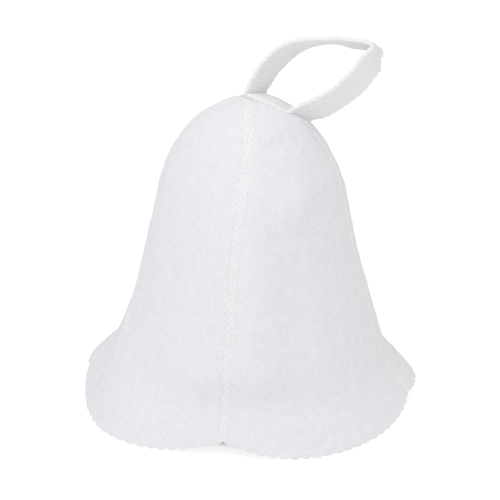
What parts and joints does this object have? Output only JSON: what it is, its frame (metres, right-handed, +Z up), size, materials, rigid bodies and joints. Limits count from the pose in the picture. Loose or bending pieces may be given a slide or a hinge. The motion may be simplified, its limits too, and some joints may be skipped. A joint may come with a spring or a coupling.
{
  "type": "felt sauna hat",
  "caption": "Bell-shaped felt sauna hat of butted gores with a scalloped, flared hem and a felt hanging loop at the top.",
  "frame": {"origin": "middle of the hat's box, on the surface that its hem stands on", "axes": "+Z up through the crown, front seam towards -Y, right seam towards +X, the loop leans over towards +X"},
  "size_m": [0.241, 0.2174, 0.2654],
  "materials": {
    "felt": "matt white wool felt",
    "felt_strip": "matt white wool felt, cut edges cream",
    "thread": "cream sewing thread in a zigzag"
  },
  "bodies": {
    "root": {"panel_front_left": "felt", "panel_front_right": "felt", "panel_back_right": "felt", "panel_back_left": "felt", "hanging_loop": "felt_strip"}
  },
  "joints": []
}
